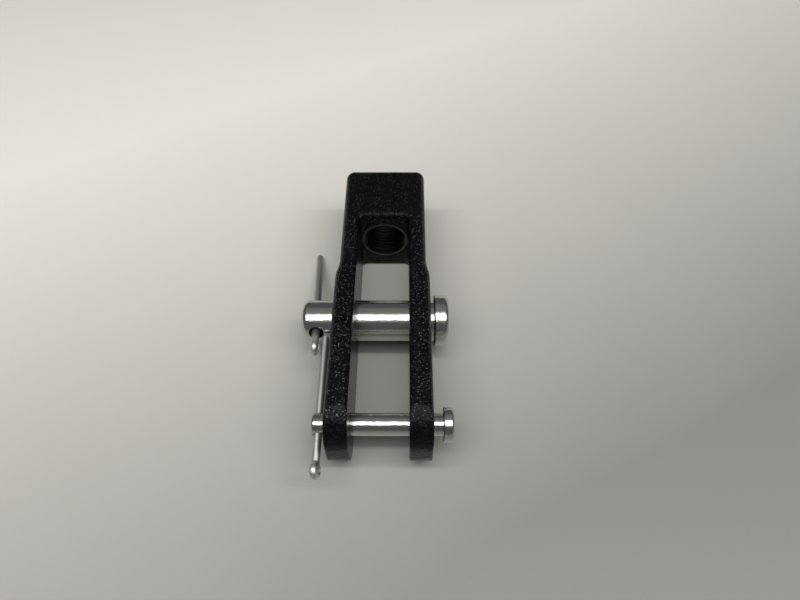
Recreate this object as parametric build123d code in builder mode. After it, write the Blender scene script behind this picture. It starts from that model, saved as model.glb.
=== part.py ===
import os
from math import asin, cos, degrees, radians, sin, sqrt, tan

from build123d import *

# Clevis rod end with its two headed pins and their split cotters.
# X runs along the pins with their heads at +X, +Y points up the rod, +Z is up.
# The origin is the middle of the clevis pin, halfway between the ears.

# Yoke
pin_spacing = 34.925
gap_width = 16.3
ear_thickness = 6.4
body_height = 25.4
block_width = 27.0
block_length = 22.2
gap_floor_reach = 33.4
shoulder_start = 15.6
shoulder_end = 8.4
ear_tip_reach = 8.9
ear_nose_flat = 3.4
ear_tip_edge = 0.8
gap_corner_radius = 2.0
end_corner_radius = 3.0
outer_edge_radius = 2.4
gap_edge_radius = 1.5

# Rod thread, 5/8-18: the bore is the thread's major diameter
thread_bore_diameter = 16.0
thread_mouth_chamfer = 0.9

# Clevis pin, 1/2 inch
clevis_pin_diameter = 12.7
clevis_pin_tail = 24.68
clevis_pin_head_seat = 15.74
clevis_pin_head_diameter = 15.9
clevis_pin_head_thickness = 4.46
clevis_pin_tail_chamfer = 1.5
clevis_pin_head_chamfer = 1.0
clevis_pin_hole_diameter = 4.4
clevis_pin_hole_reach = 20.6

# Link pin, 1/4 inch
link_pin_diameter = 6.35
link_pin_tail = 18.9
link_pin_head_seat = 17.48
link_pin_head_diameter = 9.65
link_pin_head_thickness = 2.89
link_pin_tail_chamfer = 0.9
link_pin_head_chamfer = 0.5
link_pin_hole_diameter = 2.78
link_pin_hole_reach = 17.05

# Running clearances, each on the radius
pin_clearance = 0.10
cotter_clearance = 0.02
hole_mouth_chamfer = 0.2

# Split cotters, bent from half-round wire
wire_radius = 1.145
eye_inner_radius = 1.24
neck_radius = 2.0
prong_half_gap = 0.025
prong_tip_bevel = 0.5
clevis_cotter_length = 52.9
clevis_cotter_eye_reach = 14.6
clevis_cotter_rise = 17.4
clevis_cotter_skew = 4.6
clevis_cotter_aside = 0.25
clevis_cotter_roll = 0.0
clevis_cotter_bow = 2.2
clevis_cotter_short_prong = 1.2
link_cotter_tip_clearance = 0.875
link_cotter_eye_reach = 15.2
link_cotter_rise = -4.5
link_cotter_skew = 0.0
link_cotter_aside = 0.0
link_cotter_roll = 14.0
link_cotter_bow = 0.5
link_cotter_short_prong = 0.8

# Sizes that follow from the ones above
half_height = body_height / 2
ear_nose_radius = (body_height - ear_nose_flat) / 2
half_gap = gap_width / 2
half_ears = half_gap + ear_thickness
half_block = block_width / 2
block_end = gap_floor_reach + block_length
tip_y = -pin_spacing - ear_tip_reach
rough_tip_y = tip_y - outer_edge_radius
# the link cotter ends just short of the clevis pin, so that both pins can turn
link_cotter_length = link_cotter_eye_reach + pin_spacing - clevis_pin_diameter / 2 - link_cotter_tip_clearance


def on_level(edge, level):
    return abs(abs(edge.center().Z) - level) < 0.001


def in_gap(edge):
    return abs(edge.center().X) < half_gap + 0.001 and edge.center().Y < gap_floor_reach + 0.001


# Yoke: the U-shaped plan, its rounded long edges and then the rounded ear tips
with BuildPart() as clevis_yoke:
    with BuildSketch() as plan:
        with BuildLine():
            Line((0, block_end), (half_block, block_end))
            Line((half_block, block_end), (half_block, shoulder_start))
            shoulder_middle = ((half_block + half_ears) / 2, (shoulder_start + shoulder_end) / 2)
            shoulder = TangentArc((half_block, shoulder_start), shoulder_middle, tangent=(0, -1))
            TangentArc(shoulder @ 1, (half_ears, shoulder_end), tangent=shoulder % 1)
            Line((half_ears, shoulder_end), (half_ears, rough_tip_y))
            Line((half_ears, rough_tip_y), (half_gap, rough_tip_y))
            Line((half_gap, rough_tip_y), (half_gap, gap_floor_reach))
            Line((half_gap, gap_floor_reach), (0, gap_floor_reach))
            mirror(about=Plane.YZ)
        make_face()
        fillet(plan.vertices().group_by(Axis.Y)[-1], end_corner_radius)
        gap_corners = plan.vertices().filter_by_position(Axis.Y, gap_floor_reach, gap_floor_reach)
        fillet(gap_corners, gap_corner_radius)
    extrude(amount=half_height, both=True)

    rims = clevis_yoke.edges().filter_by(lambda edge: on_level(edge, half_height))
    rims = rims.filter_by(lambda edge: edge.center().Y > rough_tip_y + 0.001)
    fillet(rims.filter_by(in_gap, reverse=True), outer_edge_radius)
    rims = clevis_yoke.edges().filter_by(lambda edge: on_level(edge, half_height))
    rims = rims.filter_by(lambda edge: edge.center().Y > rough_tip_y + 0.001)
    fillet(rims.filter_by(in_gap), gap_edge_radius)

    with BuildSketch(Plane.YZ) as side_view:
        with Locations((tip_y, 0)):
            Rectangle(block_end - tip_y, body_height, align=(Align.MIN, Align.CENTER))
        fillet(side_view.vertices().group_by(Axis.X)[0], ear_nose_radius)
    extrude(amount=half_ears + 1, both=True, mode=Mode.INTERSECT)

    with BuildSketch() as tips_view:
        with Locations((-half_gap - ear_thickness / 2, tip_y), (half_gap + ear_thickness / 2, tip_y)):
            Rectangle(ear_thickness, pin_spacing, align=(Align.CENTER, Align.MIN))
        fillet(tips_view.vertices().group_by(Axis.Y)[0], ear_tip_edge)
        with Locations((0, tip_y + pin_spacing)):
            Rectangle(half_ears * 2, block_end - tip_y - pin_spacing, align=(Align.CENTER, Align.MIN))
    extrude(amount=half_height, both=True, mode=Mode.INTERSECT)

    with BuildSketch(Plane.XZ.offset(-block_end)):
        Circle(thread_bore_diameter / 2)
    extrude(amount=block_length + gap_corner_radius, mode=Mode.SUBTRACT)
    chamfer(clevis_yoke.edges().filter_by(GeomType.CIRCLE).group_by(Axis.Y)[-1], thread_mouth_chamfer)

    with BuildSketch(Plane.YZ):
        Circle(clevis_pin_diameter / 2 + pin_clearance)
        with Locations((-pin_spacing, 0)):
            Circle(link_pin_diameter / 2 + pin_clearance)
    extrude(amount=half_ears + 1, both=True, mode=Mode.SUBTRACT)


def hole_plane(pin_y, hole_reach, rise, skew):
    # local x runs along the cotter towards its eye, local y is square to it in the upright plane
    drift = tan(radians(skew))
    lean = radians(rise)
    toward_eye = Vector(drift, -cos(lean), sin(lean))
    across = Vector(-1, -drift * cos(lean), drift * sin(lean))
    return Plane(origin=(-hole_reach, pin_y, 0), x_dir=toward_eye, z_dir=across)


def headed_pin(pin_y, diameter, tail, head_seat, head_diameter, head_thickness, tail_chamfer, head_chamfer,
               cross_hole, hole_diameter):
    with BuildPart() as pin:
        with BuildSketch(Plane.YZ.offset(-tail)):
            with Locations((pin_y, 0)):
                Circle(diameter / 2)
        extrude(amount=tail + head_seat)
        with BuildSketch(Plane.YZ.offset(head_seat)):
            with Locations((pin_y, 0)):
                Circle(head_diameter / 2)
        extrude(amount=head_thickness)
        chamfer(pin.edges().group_by(Axis.X)[0], tail_chamfer)
        chamfer(pin.edges().group_by(Axis.X)[-1], head_chamfer)
        with BuildSketch(Plane(origin=cross_hole.origin, z_dir=cross_hole.x_dir)):
            Circle(hole_diameter / 2)
        extrude(amount=diameter, both=True, mode=Mode.SUBTRACT)
        for outward in (cross_hole.x_dir, -cross_hole.x_dir):
            mouth = Plane(origin=cross_hole.origin + outward * (diameter / 2 - hole_mouth_chamfer), z_dir=outward)
            with Locations(mouth.location):
                Cone(
                    hole_diameter / 2, hole_diameter / 2 + hole_mouth_chamfer * 2, hole_mouth_chamfer * 2,
                    align=(Align.CENTER, Align.CENTER, Align.MIN), mode=Mode.SUBTRACT
                )
    return pin


def split_cotter(cross_hole, pin_diameter, hole_diameter, length, eye_reach, aside, roll, bow, short_prong):
    # each prong is the eye's ring, the neck's return bend and a long bowed leg
    eye_center = eye_reach - eye_inner_radius - wire_radius
    bow_angle = radians(bow)
    ring_to_neck = eye_inner_radius + neck_radius
    ring_turn = 180 - degrees(asin((prong_half_gap + neck_radius * cos(bow_angle)) / ring_to_neck))
    neck_turn = ring_turn - 90 + bow
    neck_end = eye_center + ring_to_neck * cos(radians(ring_turn)) - neck_radius * sin(bow_angle)
    leg_length = neck_end + length - eye_reach
    leg_radius = leg_length / (2 * sin(bow_angle))
    # the bowed pair rests low in its hole, and aside of the middle towards the pin's tail
    leg_middle = leg_length / 2 - neck_end - pin_diameter / 2
    leg_offset = prong_half_gap + sqrt(leg_radius**2 - leg_middle**2) - leg_radius * cos(bow_angle)
    drop = sqrt((hole_diameter / 2 - wire_radius - cotter_clearance)**2 - aside**2) - leg_offset
    rest = Location((0, -drop, aside), (roll, 0, 0))
    loop_plane = Plane(cross_hole.location * rest)
    with BuildPart() as cotter:
        for side, shortening in ((1, 0), (-1, short_prong)):
            leg_turn = 2 * bow * (leg_length - shortening) / leg_length
            with BuildLine(loop_plane):
                ring = JernArc((eye_center + eye_inner_radius, 0), (0, side), eye_inner_radius, side * ring_turn)
                neck = JernArc(ring @ 1, ring % 1, neck_radius, -side * neck_turn)
                JernArc(neck @ 1, neck % 1, leg_radius, side * leg_turn)
            with BuildSketch(Plane(origin=ring @ 0, x_dir=loop_plane.x_dir, z_dir=ring % 0)):
                Circle(wire_radius)
                Rectangle(wire_radius * 2, wire_radius * 2, align=(Align.MAX, Align.CENTER), mode=Mode.SUBTRACT)
            sweep()
        ends = cotter.faces().filter_by(GeomType.PLANE)
        ends = ends.filter_by(lambda face: abs(face.normal_at().dot(loop_plane.x_dir)) > 0.9)
        chamfer(ends.edges().filter_by(GeomType.CIRCLE), prong_tip_bevel)
    return cotter


clevis_cross_hole = hole_plane(0, clevis_pin_hole_reach, clevis_cotter_rise, clevis_cotter_skew)
clevis_pin = headed_pin(
    0, clevis_pin_diameter, clevis_pin_tail, clevis_pin_head_seat, clevis_pin_head_diameter,
    clevis_pin_head_thickness, clevis_pin_tail_chamfer, clevis_pin_head_chamfer,
    clevis_cross_hole, clevis_pin_hole_diameter
)
clevis_pin_cotter = split_cotter(
    clevis_cross_hole, clevis_pin_diameter, clevis_pin_hole_diameter,
    clevis_cotter_length, clevis_cotter_eye_reach,
    clevis_cotter_aside, clevis_cotter_roll, clevis_cotter_bow, clevis_cotter_short_prong
)

link_cross_hole = hole_plane(-pin_spacing, link_pin_hole_reach, link_cotter_rise, link_cotter_skew)
link_pin = headed_pin(
    -pin_spacing, link_pin_diameter, link_pin_tail, link_pin_head_seat, link_pin_head_diameter,
    link_pin_head_thickness, link_pin_tail_chamfer, link_pin_head_chamfer,
    link_cross_hole, link_pin_hole_diameter
)
link_pin_cotter = split_cotter(
    link_cross_hole, link_pin_diameter, link_pin_hole_diameter,
    link_cotter_length, link_cotter_eye_reach,
    link_cotter_aside, link_cotter_roll, link_cotter_bow, link_cotter_short_prong
)

os.makedirs("parts", exist_ok=True)

clevis_yoke.part.label = "clevis_yoke"
export_step(clevis_yoke.part, "parts/clevis_yoke.step")
clevis_pin.part.label = "clevis_pin"
export_step(clevis_pin.part, "parts/clevis_pin.step")
link_pin.part.label = "link_pin"
export_step(link_pin.part, "parts/link_pin.step")
clevis_pin_cotter.part.label = "clevis_pin_cotter"
export_step(clevis_pin_cotter.part, "parts/clevis_pin_cotter.step")
link_pin_cotter.part.label = "link_pin_cotter"
export_step(link_pin_cotter.part, "parts/link_pin_cotter.step")
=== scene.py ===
import math
import bpy
from mathutils import Euler, Matrix, Vector


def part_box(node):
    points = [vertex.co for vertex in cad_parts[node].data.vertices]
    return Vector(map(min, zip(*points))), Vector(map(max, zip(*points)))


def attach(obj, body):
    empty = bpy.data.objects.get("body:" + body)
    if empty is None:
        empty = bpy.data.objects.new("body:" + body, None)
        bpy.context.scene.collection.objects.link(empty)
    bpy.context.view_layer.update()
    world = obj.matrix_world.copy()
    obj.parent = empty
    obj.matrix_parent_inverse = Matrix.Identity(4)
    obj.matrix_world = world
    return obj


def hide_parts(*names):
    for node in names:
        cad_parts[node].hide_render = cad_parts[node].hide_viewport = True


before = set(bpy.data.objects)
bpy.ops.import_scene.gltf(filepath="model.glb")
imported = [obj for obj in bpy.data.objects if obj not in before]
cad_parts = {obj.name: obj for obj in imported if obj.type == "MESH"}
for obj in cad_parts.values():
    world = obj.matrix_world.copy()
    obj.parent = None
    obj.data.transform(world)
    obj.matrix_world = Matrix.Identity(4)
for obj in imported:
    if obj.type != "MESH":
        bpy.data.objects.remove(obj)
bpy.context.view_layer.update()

# A clevis rod end on a pale bench: black painted casting, bright zinc pins, dull zinc split cotters.
# The scene is in metres, +X towards the pin heads, +Y up the rod, +Z up.
# Small sizes are written in millimetres and multiplied by millimetre where they are used.
millimetre = 0.001


def hexToLinear(code):
    channels = [int(code[i:i + 2], 16) / 255 for i in (1, 3, 5)]
    linear = [c / 12.92 if c <= 0.04045 else ((c + 0.055) / 1.055) ** 2.4 for c in channels]
    return (*linear, 1.0)


def addNode(tree, kind, settings=None, links=None):
    # settings go to the node or to its inputs, links are {input: (node, output)}
    node = tree.nodes.new(kind)
    for name, value in (settings or {}).items():
        if name in node.inputs.keys() or isinstance(name, int):
            node.inputs[name].default_value = value
        else:
            setattr(node, name, value)
    for name, (source, output) in (links or {}).items():
        tree.links.new(source.outputs[output], node.inputs[name])
    return node


def newMaterial(name):
    material = bpy.data.materials.new(name)
    material.use_nodes = True
    material.node_tree.nodes.clear()
    return material, material.node_tree


def deselectAll():
    if bpy.context.object and bpy.context.object.mode != "OBJECT":
        bpy.ops.object.mode_set(mode="OBJECT")
    bpy.ops.object.select_all(action="DESELECT")


def makeActive(piece):
    deselectAll()
    piece.select_set(True)
    bpy.context.view_layer.objects.active = piece


def setMaterial(piece, material):
    piece.data.materials.clear()
    piece.data.materials.append(material)


# Materials

blackPaint = {
    "color": "#08080a",
    "dustColor": "#0f0f10",
    "dustRange": (0.45, 0.75),
    "roughness": 0.13,
    "ior": 1.22,             # low, so that the paint mirrors as little as it does in the photograph
    "grainSize": 0.7,        # mm, sand grain of the mould
    "pitSize": 3.2,          # mm, broader unevenness of the casting
    "grainHeight": 0.30,     # mm
    "pitHeight": 0.25,
    "paintedGlintSpacing": 0.50,    # mm, painted glints: grey metallic specks in the colour that stand for the lamps caught by sand grains
    "paintedGlintColor": "#a6a6ab",
    "paintedGlintSpread": (0.32, 0.12),    # how far from its cell's middle a painted glint ends, and where it is full
    "paintedGlintPatches": (0.50, 0.62),   # the level of grain at which painted glints start, and where they are full
    "smoothFrom": 29.0,      # mm up the rod, where the block's smoother skin starts
    "smoothTo": 35.0,
    "smoothShare": 0.22,     # of the painted glints, left on the smoother skin
    "noseFrom": -39.0,       # mm, the ears' rounded ends are smoother too and get fewer painted glints
    "noseTo": -37.0,
    "noseShare": 0.06,
}


def castPaint():
    # gloss enamel brushed or dipped over rough cast iron: black and wet-looking, with painted glints, grey
    # metallic specks mixed into the colour
    material, tree = newMaterial("glossPaintOnCasting")
    place = addNode(tree, "ShaderNodeTexCoord")
    grain = addNode(tree, "ShaderNodeTexNoise",
                    {"Scale": 1 / (blackPaint["grainSize"] * millimetre), "Detail": 3.0, "Roughness": 0.55},
                    {"Vector": (place, "Object")})
    pits = addNode(tree, "ShaderNodeTexNoise",
                   {"Scale": 1 / (blackPaint["pitSize"] * millimetre), "Detail": 2.0, "Roughness": 0.5},
                   {"Vector": (place, "Object")})
    pitBump = addNode(tree, "ShaderNodeBump",
                      {"Strength": 1.0, "Distance": blackPaint["pitHeight"] * millimetre},
                      {"Height": (pits, "Fac")})
    grainBump = addNode(tree, "ShaderNodeBump",
                        {"Strength": 1.0, "Distance": blackPaint["grainHeight"] * millimetre},
                        {"Height": (grain, "Fac"), "Normal": (pitBump, "Normal")})
    dust = addNode(tree, "ShaderNodeMapRange",
                   {"From Min": blackPaint["dustRange"][0], "From Max": blackPaint["dustRange"][1]},
                   {"Value": (pits, "Fac")})
    tint = addNode(tree, "ShaderNodeMix",
                   {"data_type": "RGBA",
                    6: hexToLinear(blackPaint["color"]),
                    7: hexToLinear(blackPaint["dustColor"])},
                   {0: (dust, "Result")})
    # painted glints: sparse grey metallic specks in the colour stand for lamp glints on the sand grain,
    # fewer on the block and the ears' ends
    cells = addNode(tree, "ShaderNodeTexVoronoi",
                    {"Scale": 1 / (blackPaint["paintedGlintSpacing"] * millimetre)},
                    {"Vector": (place, "Object")})
    points = addNode(tree, "ShaderNodeMapRange",
                     {"From Min": blackPaint["paintedGlintSpread"][0], "From Max": blackPaint["paintedGlintSpread"][1]},
                     {"Value": (cells, "Distance")})
    patches = addNode(tree, "ShaderNodeMapRange",
                      {"From Min": blackPaint["paintedGlintPatches"][0], "From Max": blackPaint["paintedGlintPatches"][1]},
                      {"Value": (grain, "Fac")})
    axes = addNode(tree, "ShaderNodeSeparateXYZ", {}, {"Vector": (place, "Object")})
    blockShare = addNode(tree, "ShaderNodeMapRange",
                         {"From Min": blackPaint["smoothFrom"] * millimetre,
                          "From Max": blackPaint["smoothTo"] * millimetre,
                          "To Min": 1.0, "To Max": blackPaint["smoothShare"]},
                         {"Value": (axes, "Y")})
    noseShare = addNode(tree, "ShaderNodeMapRange",
                        {"From Min": blackPaint["noseFrom"] * millimetre,
                         "From Max": blackPaint["noseTo"] * millimetre,
                         "To Min": blackPaint["noseShare"], "To Max": 1.0},
                        {"Value": (axes, "Y")})
    paintedGlintShare = addNode(tree, "ShaderNodeMath", {"operation": "MULTIPLY"},
                         {0: (blockShare, "Result"), 1: (noseShare, "Result")})
    scattered = addNode(tree, "ShaderNodeMath", {"operation": "MULTIPLY"},
                        {0: (points, "Result"), 1: (patches, "Result")})
    paintedGlints = addNode(tree, "ShaderNodeMath", {"operation": "MULTIPLY"},
                     {0: (scattered, "Value"), 1: (paintedGlintShare, "Value")})
    withPaintedGlints = addNode(tree, "ShaderNodeMix",
                       {"data_type": "RGBA", 7: hexToLinear(blackPaint["paintedGlintColor"])},
                       {0: (paintedGlints, "Value"), 6: (tint, 2)})
    shader = addNode(tree, "ShaderNodeBsdfPrincipled",
                     {"Roughness": blackPaint["roughness"], "IOR": blackPaint["ior"]},
                     {"Base Color": (withPaintedGlints, 2),
                      "Metallic": (paintedGlints, "Value"),
                      "Normal": (grainBump, "Normal")})
    addNode(tree, "ShaderNodeOutputMaterial", links={"Surface": (shader, "BSDF")})
    return material


brightZinc = {
    "color": "#c9cbcd",
    "warmColor": "#c3bfb2",
    "patchSize": 6,          # mm, of the warm tint
    "roughness": 0.17,
    "dentSize": 0.6,         # mm, plating unevenness
    "dentHeight": 0.04,
}

dullZinc = {
    "color": "#cfd1cf",
    "warmColor": "#c2c2bc",
    "patchSize": 6,
    "roughness": 0.46,
    "dentSize": 0.9,
    "dentHeight": 0.02,
}


def zincPlate(name, look):
    # zinc plate on steel: metallic, slightly wavy, a faint warm tint in patches
    material, tree = newMaterial(name)
    place = addNode(tree, "ShaderNodeTexCoord")
    dents = addNode(tree, "ShaderNodeTexNoise",
                    {"Scale": 1 / (look["dentSize"] * millimetre), "Detail": 3.0, "Roughness": 0.6},
                    {"Vector": (place, "Object")})
    bump = addNode(tree, "ShaderNodeBump",
                   {"Strength": 1.0, "Distance": look["dentHeight"] * millimetre},
                   {"Height": (dents, "Fac")})
    patches = addNode(tree, "ShaderNodeTexNoise",
                      {"Scale": 1 / (look["patchSize"] * millimetre), "Detail": 1.0},
                      {"Vector": (place, "Object")})
    tint = addNode(tree, "ShaderNodeMix",
                   {"data_type": "RGBA", 6: hexToLinear(look["color"]), 7: hexToLinear(look["warmColor"])},
                   {0: (patches, "Fac")})
    shader = addNode(tree, "ShaderNodeBsdfPrincipled",
                     {"Metallic": 1.0, "Roughness": look["roughness"]},
                     {"Base Color": (tint, 2), "Normal": (bump, "Normal")})
    addNode(tree, "ShaderNodeOutputMaterial", links={"Surface": (shader, "BSDF")})
    return material


bench = {
    "color": "#e9e5dd",
    "shade": "#85837e",
    "fall": (-1.3, 2.4, 0.0),    # per metre, towards where the bench is lighter
    "fallRange": (-0.176, 0.41),
    "mottle": 0.03,
    "mottleScale": 14.0,         # per metre
    "roughness": 0.42,
    "ior": 1.45,
    "size": 3.0,                 # metres
}


def benchTop():
    # pale laminate whose colour darkens towards the lower right, in place of uneven room light
    material, tree = newMaterial("paleBenchLaminate")
    place = addNode(tree, "ShaderNodeTexCoord")
    mottle = addNode(tree, "ShaderNodeTexNoise",
                     {"Scale": bench["mottleScale"], "Detail": 4.0},
                     {"Vector": (place, "Object")})
    fall = addNode(tree, "ShaderNodeVectorMath", {"operation": "DOT_PRODUCT", 1: bench["fall"]},
                   {0: (place, "Object")})
    uneven = addNode(tree, "ShaderNodeMath", {"operation": "MULTIPLY_ADD", 1: bench["mottle"]},
                     {0: (mottle, "Fac"), 2: (fall, "Value")})
    level = addNode(tree, "ShaderNodeMapRange",
                    {"From Min": bench["fallRange"][0], "From Max": bench["fallRange"][1]},
                    {"Value": (uneven, "Value")})
    tint = addNode(tree, "ShaderNodeMix",
                   {"data_type": "RGBA", 6: hexToLinear(bench["shade"]), 7: hexToLinear(bench["color"])},
                   {0: (level, "Result")})
    shader = addNode(tree, "ShaderNodeBsdfPrincipled",
                     {"Roughness": bench["roughness"], "IOR": bench["ior"]},
                     {"Base Color": (tint, 2)})
    addNode(tree, "ShaderNodeOutputMaterial", links={"Surface": (shader, "BSDF")})
    return material


threadSteel = {
    "color": "#5a5a5d",
    "roughness": 0.28,
}


def oiledThread():
    # cut threads with thin dark oil: the crests pick up a little light
    material, tree = newMaterial("oiledSteelThread")
    shader = addNode(tree, "ShaderNodeBsdfPrincipled",
                     {"Base Color": hexToLinear(threadSteel["color"]), "Metallic": 1.0,
                      "Roughness": threadSteel["roughness"]})
    addNode(tree, "ShaderNodeOutputMaterial", links={"Surface": (shader, "BSDF")})
    return material


paintMaterial = castPaint()
threadMaterial = oiledThread()
pinMaterial = zincPlate("brightZincPlate", brightZinc)
cotterMaterial = zincPlate("dullZincPlate", dullZinc)
print("materials made")

# Pieces that stand for the CAD nodes

meshing = {
    "weldDistance": 0.002,   # mm
    "flatAngle": 0.4,        # degrees, below which neighbouring faces become one
    "roundedAngle": 34,      # degrees, above which the casting's edges are rounded
    "edgeRounding": 0.5,     # mm
    "roundingSteps": 3,
    "smoothAngle": 32,       # degrees
    "faceWeight": 80,
}


def weldedCopy(nodeName, pieceName, bodyName, material, rounded=False):
    # the CAD mesh is loose triangles: a welded copy takes smooth shading without facets
    piece = bpy.data.objects.new(pieceName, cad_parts[nodeName].data.copy())
    bpy.context.scene.collection.objects.link(piece)
    makeActive(piece)
    if piece.data.has_custom_normals:
        bpy.ops.mesh.customdata_custom_splitnormals_clear()
    bpy.ops.object.mode_set(mode="EDIT")
    bpy.ops.mesh.select_all(action="SELECT")
    bpy.ops.mesh.remove_doubles(threshold=meshing["weldDistance"] * millimetre)
    bpy.ops.mesh.dissolve_limited(angle_limit=math.radians(meshing["flatAngle"]))
    bpy.ops.object.mode_set(mode="OBJECT")
    if rounded:
        rounder = piece.modifiers.new("edgeRounding", "BEVEL")
        rounder.limit_method = "ANGLE"
        rounder.angle_limit = math.radians(meshing["roundedAngle"])
        rounder.width = meshing["edgeRounding"] * millimetre
        rounder.segments = meshing["roundingSteps"]
        bpy.ops.object.modifier_apply(modifier=rounder.name)
    bpy.ops.object.shade_smooth_by_angle(angle=math.radians(meshing["smoothAngle"]))
    weighting = piece.modifiers.new("weightedNormals", "WEIGHTED_NORMAL")
    weighting.keep_sharp = True
    weighting.weight = meshing["faceWeight"]
    bpy.ops.object.modifier_apply(modifier=weighting.name)
    setMaterial(piece, material)
    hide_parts(nodeName)
    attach(piece, bodyName)


weldedCopy("clevis_yoke", "yoke_casting", "clevis_yoke", paintMaterial, rounded=True)
weldedCopy("clevis_pin_cotter", "clevis_cotter_wire", "clevis_pin", cotterMaterial)
weldedCopy("link_pin_cotter", "link_cotter_wire", "link_pin", cotterMaterial)
print("CAD nodes dressed")

# Pins, in millimetres and degrees. A hole rises and skews as its cotter does.
pins = {
    "clevis_pin": {
        "place": 0.0, "radius": 6.35, "tail": 24.68, "seat": 15.74,
        "headRadius": 7.95, "headThickness": 4.46,
        "tailRounding": 2.1, "headRounding": 1.5, "underRounding": 0.5,
        "holeReach": 20.6, "holeRadius": 2.2, "rise": 17.4, "skew": 4.6, "mouth": 0.2,
    },
    "link_pin": {
        "place": -34.925, "radius": 3.175, "tail": 18.9, "seat": 17.48,
        "headRadius": 4.825, "headThickness": 2.89,
        "tailRounding": 0.9, "headRounding": 0.9, "underRounding": 0.3,
        "holeReach": 17.05, "holeRadius": 1.39, "rise": -4.5, "skew": 0.0, "mouth": 0.2,
    },
}
shaftSteps = 144
holeSteps = 96
rimSteps = 8
pinSmoothAngle = 28


def pickFlatFace(piece, axisPlace):
    # selects the end face that lies square to X at axisPlace
    bpy.ops.object.mode_set(mode="EDIT")
    bpy.ops.mesh.select_mode(type="FACE")
    bpy.ops.mesh.select_all(action="DESELECT")
    bpy.ops.object.mode_set(mode="OBJECT")
    for face in piece.data.polygons:
        face.select = abs(face.normal.x) > 0.99 and abs(face.center.x - axisPlace) < 0.00001
    bpy.ops.object.mode_set(mode="EDIT")


def roundRim(piece, axisPlace, centre, radius, width):
    # rounds the ring of edges of the given radius at axisPlace
    bpy.ops.object.mode_set(mode="EDIT")
    bpy.ops.mesh.select_mode(type="EDGE")
    bpy.ops.mesh.select_all(action="DESELECT")
    bpy.ops.object.mode_set(mode="OBJECT")
    for edge in piece.data.edges:
        ends = [piece.data.vertices[v].co for v in edge.vertices]
        edge.select = all(abs(end.x - axisPlace) < 0.00001
                          and abs(math.hypot(end.y - centre, end.z) - radius) < 0.00002 for end in ends)
    bpy.ops.object.mode_set(mode="EDIT")
    bpy.ops.mesh.bevel(offset=width, segments=rimSteps, profile=0.5, affect="EDGES")
    bpy.ops.object.mode_set(mode="OBJECT")


def cutAway(piece, cutter):
    makeActive(piece)
    cutting = piece.modifiers.new("crossHole", "BOOLEAN")
    cutting.operation = "DIFFERENCE"
    cutting.solver = "EXACT"
    cutting.object = cutter
    bpy.ops.object.modifier_apply(modifier=cutting.name)
    bpy.data.objects.remove(cutter)


def turnedPin(nodeName, sizes):
    # a shaft with a head drawn out of one end, its rims rounded, and a countersunk cross hole
    centre = sizes["place"] * millimetre
    radius = sizes["radius"] * millimetre
    tail = -sizes["tail"] * millimetre
    seat = sizes["seat"] * millimetre
    headEnd = seat + sizes["headThickness"] * millimetre
    headRadius = sizes["headRadius"] * millimetre
    deselectAll()
    bpy.ops.mesh.primitive_cylinder_add(
        vertices=shaftSteps, radius=radius, depth=seat - tail,
        location=((seat + tail) / 2, centre, 0), rotation=(0, math.radians(90), 0))
    pin = bpy.context.object
    pin.name = nodeName + "_turned"
    bpy.ops.object.transform_apply(location=True, rotation=True, scale=True)
    pickFlatFace(pin, seat)
    bpy.ops.mesh.extrude_region()
    widening = headRadius / radius
    bpy.ops.transform.resize(value=(1, widening, widening), center_override=(seat, centre, 0))
    bpy.ops.mesh.extrude_region_move(TRANSFORM_OT_translate={"value": (headEnd - seat, 0, 0)})
    bpy.ops.object.mode_set(mode="OBJECT")
    roundRim(pin, tail, centre, radius, sizes["tailRounding"] * millimetre)
    roundRim(pin, headEnd, centre, headRadius, sizes["headRounding"] * millimetre)
    roundRim(pin, seat, centre, headRadius, sizes["underRounding"] * millimetre)
    rise = math.radians(sizes["rise"])
    skew = math.radians(sizes["skew"])
    axis = Vector((math.tan(skew), -math.cos(rise), math.sin(rise))).normalized()
    middle = Vector((-sizes["holeReach"] * millimetre, centre, 0))
    holeRadius = sizes["holeRadius"] * millimetre
    turn = axis.to_track_quat("Z", "Y").to_euler()
    bpy.ops.mesh.primitive_cylinder_add(
        vertices=holeSteps, radius=holeRadius, depth=radius * 3, location=middle, rotation=turn)
    cutAway(pin, bpy.context.object)
    for side in (1, -1):
        # each mouth's cone starts below the surface and ends outside it
        depth = sizes["mouth"] * 3 * millimetre
        place = middle + axis * side * (radius - sizes["mouth"] * millimetre + depth / 2)
        bpy.ops.mesh.primitive_cone_add(
            vertices=holeSteps, depth=depth, location=place, rotation=turn,
            radius1=holeRadius if side > 0 else holeRadius + depth,
            radius2=holeRadius + depth if side > 0 else holeRadius)
        cutAway(pin, bpy.context.object)
    makeActive(pin)
    bpy.ops.object.shade_smooth_by_angle(angle=math.radians(pinSmoothAngle))
    setMaterial(pin, pinMaterial)
    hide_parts(nodeName)
    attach(pin, nodeName)


for nodeName, sizes in pins.items():
    turnedPin(nodeName, sizes)
print("pins turned")

# Rod thread

rodThread = {
    "pitch": 25.4 / 18,      # mm, 18 threads to the inch
    "rootRadius": 8.03,
    "crestRadius": 7.17,
    "rootWidth": 1.22,
    "crestWidth": 0.26,
    "start": 33.75,
    "end": 55.0,
    "stepsPerTurn": 72,
    "spareTurns": 3,         # beyond the mouths, half of them at each
}


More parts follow.
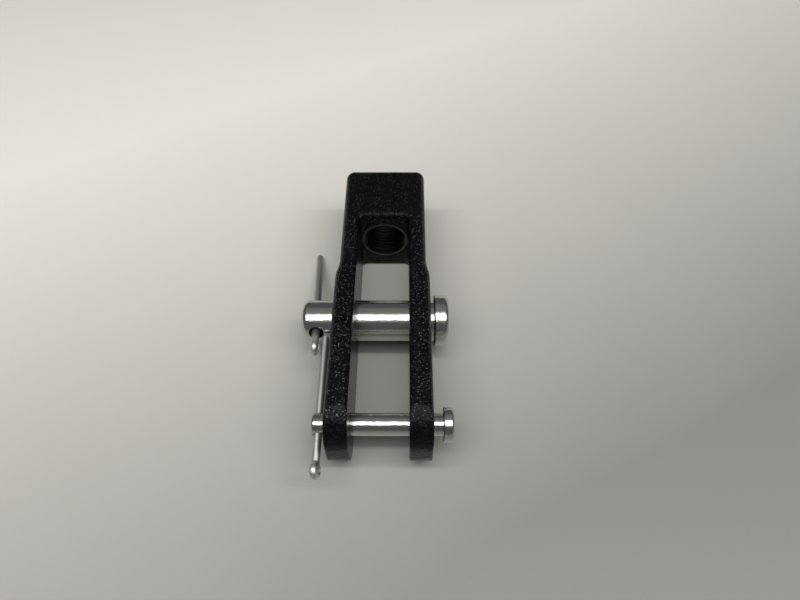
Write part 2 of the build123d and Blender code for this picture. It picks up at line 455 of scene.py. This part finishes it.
def threadRidge():
    # one ridge profile wound along the bore, then faced off square at both mouths
    turns = math.ceil((rodThread["end"] - rodThread["start"]) / rodThread["pitch"]) + rodThread["spareTurns"]
    height = rodThread["rootRadius"] - rodThread["crestRadius"]
    middle = (rodThread["rootRadius"] + rodThread["crestRadius"]) / 2
    firstTurn = rodThread["start"] - rodThread["spareTurns"] / 2 * rodThread["pitch"]
    deselectAll()
    bpy.ops.mesh.primitive_plane_add(
        size=1, location=(0, firstTurn * millimetre, middle * millimetre), rotation=(0, math.radians(90), 0))
    ridge = bpy.context.object
    ridge.name = "rod_thread_ridge"
    bpy.ops.object.transform_apply(location=True, rotation=True, scale=True)
    for vertex in ridge.data.vertices:
        upper = vertex.co.z > middle * millimetre
        side = 1 if vertex.co.y > firstTurn * millimetre else -1
        width = rodThread["rootWidth"] if upper else rodThread["crestWidth"]
        vertex.co.y = (firstTurn + side * width / 2) * millimetre
        vertex.co.z = (middle + (height / 2 if upper else -height / 2)) * millimetre
    makeActive(ridge)
    winding = ridge.modifiers.new("winding", "SCREW")
    winding.axis = "Y"
    winding.angle = math.radians(360)
    winding.screw_offset = rodThread["pitch"] * millimetre
    winding.iterations = turns
    winding.steps = rodThread["stepsPerTurn"]
    winding.render_steps = rodThread["stepsPerTurn"]
    winding.use_merge_vertices = True
    winding.merge_threshold = 0.000001
    bpy.ops.object.modifier_apply(modifier=winding.name)
    # the turns past the two mouths are pressed flat against them
    for vertex in ridge.data.vertices:
        vertex.co.y = min(max(vertex.co.y, rodThread["start"] * millimetre), rodThread["end"] * millimetre)
    bpy.ops.object.mode_set(mode="EDIT")
    bpy.ops.mesh.select_all(action="SELECT")
    bpy.ops.mesh.remove_doubles(threshold=meshing["weldDistance"] * millimetre)
    bpy.ops.mesh.normals_make_consistent(inside=False)
    bpy.ops.object.mode_set(mode="OBJECT")
    bpy.ops.object.shade_smooth_by_angle(angle=math.radians(meshing["smoothAngle"]))
    setMaterial(ridge, threadMaterial)
    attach(ridge, "clevis_yoke")


threadRidge()
print("rod thread wound")

# Bench, lamps, camera

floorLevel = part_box("clevis_yoke")[0].z
deselectAll()
bpy.ops.mesh.primitive_plane_add(size=bench["size"], location=(0, 0, floorLevel))
floorPlane = bpy.context.object
floorPlane.name = "bench_top"
setMaterial(floorPlane, benchTop())

# ceiling lamps, given by the angles from straight up at which the object sees them
lamps = {
    "height": 0.9,
    "acrossFrom": -40,                       # degrees towards +X
    "acrossTo": 50,
    "color": "#ffffff",
    "panels": {                              # degrees towards +Y, radiance
        "rear_ceiling": ((3, 41), 0.10),
        "front_ceiling": ((-31, -3), 3.5),
        "front_tube": ((-12, -9.5), 22.0),
    },
}


def ceilingLamp(name, alongFrom, alongTo, radiance):
    height = lamps["height"]
    edges = [height * math.tan(math.radians(a))
             for a in (lamps["acrossFrom"], lamps["acrossTo"], alongFrom, alongTo)]
    bpy.ops.object.light_add(
        type="AREA", location=((edges[0] + edges[1]) / 2, (edges[2] + edges[3]) / 2, height))
    lamp = bpy.context.object
    lamp.name = name
    lamp.data.shape = "RECTANGLE"
    lamp.data.size = edges[1] - edges[0]
    lamp.data.size_y = edges[3] - edges[2]
    lamp.data.energy = radiance * math.pi * lamp.data.size * lamp.data.size_y
    lamp.data.color = hexToLinear(lamps["color"])[:3]


for lampName, ((alongFrom, alongTo), radiance) in lamps["panels"].items():
    ceilingLamp(lampName, alongFrom, alongTo, radiance)

roomColor = "#5c5d60"
world = bpy.data.worlds.new("dim_room")
bpy.context.scene.world = world
world.use_nodes = True
world.node_tree.nodes["Background"].inputs["Color"].default_value = hexToLinear(roomColor)

cameraView = {
    "place": (0.00690, -0.10555, 0.15350),
    "lookDown": 53.50,       # degrees below level
    "turn": 0.80,
    "roll": -0.60,
    "lens": 26.85,
}
cameraData = bpy.data.cameras.new("phone_camera")
cameraData.lens = cameraView["lens"]
cameraData.sensor_width = 36
cameraData.clip_start = 0.01
camera = bpy.data.objects.new("phone_camera", cameraData)
bpy.context.scene.collection.objects.link(camera)
camera.location = cameraView["place"]
aim = Euler((math.radians(90 - cameraView["lookDown"]), 0, math.radians(cameraView["turn"]))).to_matrix()
camera.rotation_euler = (aim @ Matrix.Rotation(math.radians(cameraView["roll"]), 3, "Z")).to_euler()
bpy.context.scene.camera = camera
bpy.context.scene.view_settings.view_transform = "Standard"
print("stage set")
